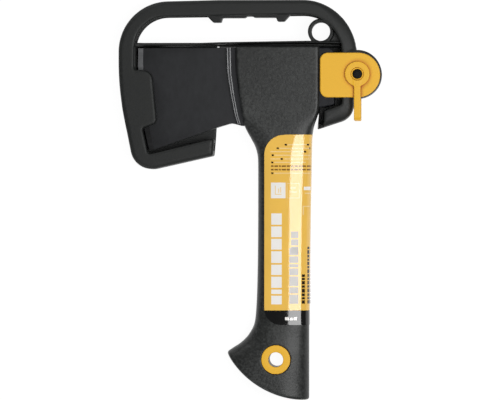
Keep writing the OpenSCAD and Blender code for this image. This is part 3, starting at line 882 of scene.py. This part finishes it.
def build_plate():
    h = 0.28
    g = Grid((PX0, PY0, PZ0), (PX1, PY1, PZ1), h)
    r, my = (PY1 - PY0) / 2, (PY0 + PY1) / 2
    mx = PX1 - r
    pts = rounded([(PX0, PY1, 5), (mx, PY1, 0), (mx, PY0, 0), (PX0, PY0, 5)], 10)
    d = np.minimum(g.poly(pts), g.circle((mx, my), r))
    F = g.slab(d, PZ0, PZ0 + 2.0, 0.75)
    hub = g.slab(g.circle(PIV, 4.2), PZ0, PZ1, 0.35)
    F = smin(F, hub, 0.35)
    F = smax(F, -g.circle(PIV, 3.2), 0.5)
    v, q = surface(g, F)
    ob = mesh_object("latch_plate", v, q)
    thin(ob, 0.6)
    dress(ob, "orange", LOCK, "orange_plastic", "lock_plate")


def build_bail():
    h = 0.28
    g = Grid((BX0, BY0, BZ0), (BX1, BY1, BZ1), h)
    x, y, z = g.x, g.y, g.z
    w, t = 4.4, 1.6
    y1 = BY0
    # the U seen from the side: a rounded frame in Y and Z
    qy = np.abs(y - (y1 + PIV[1] + 6) / 2) - (PIV[1] + 6 - y1) / 2 + 3
    qz = np.abs(z - (BZ0 + BZ1) / 2) - (BZ1 - BZ0) / 2 + 3
    loop = np.hypot(np.maximum(qy, 0), np.maximum(qz, 0)) + np.minimum(np.maximum(qy, qz), 0) - 3
    U = np.maximum(loop, -(loop + t))
    U = np.maximum(U, y - PIV[1])
    strap = smax(U, np.abs(x - PIV[0]) - w / 2, 0.6)
    r = (BX1 - BX0) / 2
    front = g.slab(g.circle(PIV, r), BZ1 - t, BZ1, 0.5)
    rear = g.slab(g.circle(PIV, r), BZ0, BZ0 + t, 0.5)
    F = smin(smin(strap, front, 0.9), rear, 0.9)
    F = np.maximum(F, -np.maximum(g.circle(PIV, 4.24), 13 - z))
    F = np.maximum(F, -np.maximum(g.circle(PIV, 3.2), z - 13))
    v, q = surface(g, F)
    ob = mesh_object("latch_bail", v, q)
    thin(ob, 0.6)
    dress(ob, "orange", LOCK, "orange_plastic", "lock_bail")


# ------------------------------------------------------------------ head
EDGE_R, EDGE_X, EDGE_Y = 240.0, -74.0, 91.8
TOP = AY1
BEARD = rounded([(-78, 31.4 - 4.6, 0), (-68, 31.4, 0), (-64.7, 32.7, 1), (-20.9, 47.8, 20), (-12.2, 50.4, 5), (-5.4, 48.6, 0)], 10)
BEARD = [p for p in BEARD if p[0] > -79]


def build_head():
    cx = EDGE_X + EDGE_R
    # beard line as y(x)
    bp = np.array(sorted(rounded([(-90, 31.4, 0), (-68, 31.4, 0), (-64.7, 32.7, 1), (-20.9, 47.8, 20), (-12.2, 50.4, 5), (-5.4, 48.6, 0),
                                  (0, 47, 0)], 10)[1:-1], key=lambda p: p[0]))
    s_list = [0.0, 0.25, 0.9, 1.7, 2.5, 3.2, 3.4, 3.6, 5, 8, 12, 16, 20, 25, 30, 35, 40, 45, 50, 53, 55, 57, 58.5, 60, 61.5, 63, 65, 67]
    rows = 46

    def half(s):
        if s <= 3.4:
            return 0.03 + 0.92 * s / 3.4
        return 0.95 + (s - 3.4) * (7.5 - 0.95) / (72 - 3.4)
    P = np.zeros((rows, len(s_list), 3))
    for j, s in enumerate(s_list):
        R = EDGE_R - s
        # angle at the top edge and at the beard line
        th_top = math.asin((TOP - EDGE_Y) / R)
        th = th_top
        lo_th, hi_th = -0.32, th_top
        for _ in range(50):
            m = (lo_th + hi_th) / 2
            xx, yy = cx - R * math.cos(m), EDGE_Y + R * math.sin(m)
            if yy > np.interp(xx, bp[:, 0], bp[:, 1]):
                hi_th = m
            else:
                lo_th = m
        th_bot = hi_th
        for i in range(rows):
            a = th_top + (th_bot - th_top) * i / (rows - 1)
            P[i, j] = (cx - R * math.cos(a), EDGE_Y + R * math.sin(a), half(s))
    verts, faces = [], []
    n = len(s_list)
    for sgn in (1, -1):
        for i in range(rows):
            for j in range(n):
                verts.append((P[i, j, 0] * MM, P[i, j, 1] * MM, (MID + sgn * P[i, j, 2]) * MM))
    m = rows * n
    for i in range(rows - 1):
        for j in range(n - 1):
            a = i * n + j
            faces.append((a, a + n, a + n + 1, a + 1))
            faces.append((m + a, m + a + 1, m + a + n + 1, m + a + n))
    for j in range(n - 1):
        a, b = j, (rows - 1) * n + j
        faces.append((a, a + 1, m + a + 1, m + a))
        faces.append((b, m + b, m + b + 1, b + 1))
    for i in range(rows - 1):
        a, b = i * n, i * n + n - 1
        faces.append((a, m + a, m + a + n, a + n))
        faces.append((b, b + n, m + b + n, m + b))
    ob = mesh_object("blade", verts, faces)
    bm = bmesh.new()
    bm.from_mesh(ob.data)
    bmesh.ops.recalc_face_normals(bm, faces=bm.faces)
    bm.to_mesh(ob.data)
    bm.free()
    ob.data.polygons.foreach_set("use_smooth", [True] * len(ob.data.polygons))
    b = ob.modifiers.new("bevel", "BEVEL")
    b.width, b.segments, b.limit_method, b.angle_limit = 0.3 * MM, 2, "ANGLE", math.radians(50)
    ob.data.set_sharp_from_angle(angle=math.radians(8))
    dress(ob, ["coated", "bevel"], BODY, "head_steel", "axe_head")
    for f in ob.data.polygons:
        c = f.center / MM
        if EDGE_R - math.hypot(c.x - cx, c.y - EDGE_Y) < 3.4:
            f.material_index = 1

    # collar: a rolled lip, a groove and a second lip follow the curve at the end of the cheek
    line = np.array(sorted(rounded([(-14.2, TOP + 6, 0), (-14.2, TOP, 0), (-13.7, 83.8, 40), (-11.5, 69.3, 30), (-8.8, 55.5, 0), (-6.9, 49.4, 0),
                                    (-6, 45, 0)], 10)[1:-1], key=lambda p: p[1]))
    prof = [(-1.5, 5.0), (-1.2, 7.2), (-0.95, 8.6), (-0.88, 8.85), (-0.26, 8.66), (-0.1, 8.35), (0.35, 8.3), (0.72, 8.7), (0.78, 8.86),
            (1.46, 8.66), (1.65, 8.35), (4.45, 8.75), (4.75, 8.4), (4.95, 8.4), (9.5, 8.5), (16, 8.6)]
    yy = np.linspace(49.6, TOP, 50)
    verts, faces = [], []
    m = len(prof)
    closed = prof + [(d, -z) for d, z in prof[::-1]]
    k = len(closed)
    for i, y in enumerate(yy):
        x0 = float(np.interp(y, line[:, 1], line[:, 0]))
        lean = float(np.interp(y, [50, 64.7, 91, 97], [-0.5, -0.42, 0.02, 0.1]))
        for d, z in closed:
            verts.append(((x0 + d + (lean if 0.2 < d < 2 else 0)) * MM, y * MM, (MID + z) * MM))
    for i in range(len(yy) - 1):
        for j in range(k):
            a, b2 = i * k + j, i * k + (j + 1) % k
            faces.append((a, a + k, b2 + k, b2))
    faces.append(tuple(range(k)))
    faces.append(tuple(range((len(yy) - 1) * k, len(yy) * k))[::-1])
    ob = mesh_object("collar", verts, faces)
    bm = bmesh.new()
    bm.from_mesh(ob.data)
    bmesh.ops.recalc_face_normals(bm, faces=bm.faces)
    bm.to_mesh(ob.data)
    bm.free()
    ob.data.polygons.foreach_set("use_smooth", [True] * len(ob.data.polygons))
    ob.data.set_sharp_from_angle(angle=math.radians(22))
    dress(ob, ["coated", "crest_highlight_paint"], BODY, "head_steel")
    # the crest faces of both lips take the lighter steel: a painted highlight along the two lines
    for f in ob.data.polygons:
        seg = f.index % k
        seg = min(seg, 2 * m - 2 - seg)
        if f.index < (len(yy) - 1) * k:
            f.material_index = 1 if seg in (3, 8) else 0

    # poll
    pts = rounded([(41, TOP, 0), (AX1, TOP, 4.6), (AX1, 62.3, 1.6), (48.6, 60.9, 1), (41, 60.6, 0)], 8)
    ob = prism("poll", pts, MID - 10.4, MID + 10.4, 0.9, 4)
    dress(ob, "poll", BODY, "head_steel")


build_sheath()
build_handle()
build_label()
build_small()
build_plate()
build_bail()
build_head()


# ------------------------------------------------------------------ floor, light and camera
def floor_material():
    m = bpy.data.materials.new("floor_white")
    m.use_nodes = True
    nt = m.node_tree
    nt.nodes.clear()
    out = nt.nodes.new("ShaderNodeOutputMaterial")
    add = nt.nodes.new("ShaderNodeAddShader")
    em = nt.nodes.new("ShaderNodeEmission")
    em.inputs["Color"].default_value = (1, 1, 1, 1)
    em.inputs["Strength"].default_value = 0.95
    df = nt.nodes.new("ShaderNodeBsdfDiffuse")
    df.inputs["Color"].default_value = (0.10, 0.10, 0.10, 1)
    nt.links.new(em.outputs[0], add.inputs[0])
    nt.links.new(df.outputs[0], add.inputs[1])
    nt.links.new(add.outputs[0], out.inputs[0])
    return m


bpy.ops.mesh.primitive_plane_add(size=8, location=(0, 0, -0.0002))
floor = bpy.context.object
floor.name = "floor"
floor.data.materials.append(floor_material())

world = bpy.data.worlds.new("studio")
bpy.context.scene.world = world
world.use_nodes = True
bg = world.node_tree.nodes["Background"]
bg.inputs["Color"].default_value = (1.0, 1.0, 1.0, 1)
bg.inputs["Strength"].default_value = 0.10


def area(name, loc, target, sx, sy, radiance):
    """A soft box of sx by sy metres; its brightness is given as radiance."""
    d = bpy.data.lights.new(name, "AREA")
    d.shape = "RECTANGLE"
    d.size, d.size_y = sx, sy
    d.energy = radiance * math.pi * sx * sy
    o = bpy.data.objects.new(name, d)
    bpy.context.scene.collection.objects.link(o)
    o.location = loc
    z = (Vector(loc) - Vector(target)).normalized()
    x = Vector((0, 1, 0)).cross(z).normalized()
    y = z.cross(x)
    o.matrix_world = Matrix(((x.x, y.x, z.x, loc[0]), (x.y, y.y, z.y, loc[1]), (x.z, y.z, z.z, loc[2]), (0, 0, 0, 1)))
    o.visible_camera = False
    return o


area("key_strip", (0.59, -0.02, 1.05), (0.59, -0.02, 0), 1.02, 0.36, 9.6)
area("fill_top", (-0.75, 1.45, 1.1), (0, 0, 0), 1.0, 0.8, 3.6)
area("fill_foot", (-0.75, -1.45, 1.1), (0, 0, 0), 1.0, 0.8, 3.6)

cam_data = bpy.data.cameras.new("camera")
cam = bpy.data.objects.new("camera", cam_data)
bpy.context.scene.collection.objects.link(cam)
YAW = math.radians(2.7)
DIST = 2.7
target = Vector((0.0002, 0.0, 0.024))
cam.location = target + Vector((math.sin(YAW), 0, math.cos(YAW))) * DIST
zax = (cam.location - target).normalized()
xax = Vector((0, 1, 0)).cross(zax).normalized()
yax = zax.cross(xax)
cam.matrix_world = Matrix((
    (xax.x, yax.x, zax.x, cam.location.x),
    (xax.y, yax.y, zax.y, cam.location.y),
    (xax.z, yax.z, zax.z, cam.location.z),
    (0, 0, 0, 1)))
cam_data.sensor_width = 36
cam_data.lens = 36 * DIST / 0.3270
cam_data.clip_end = 20
bpy.context.scene.camera = cam

bpy.context.scene.view_settings.view_transform = "Standard"
bpy.context.scene.view_settings.look = "None"
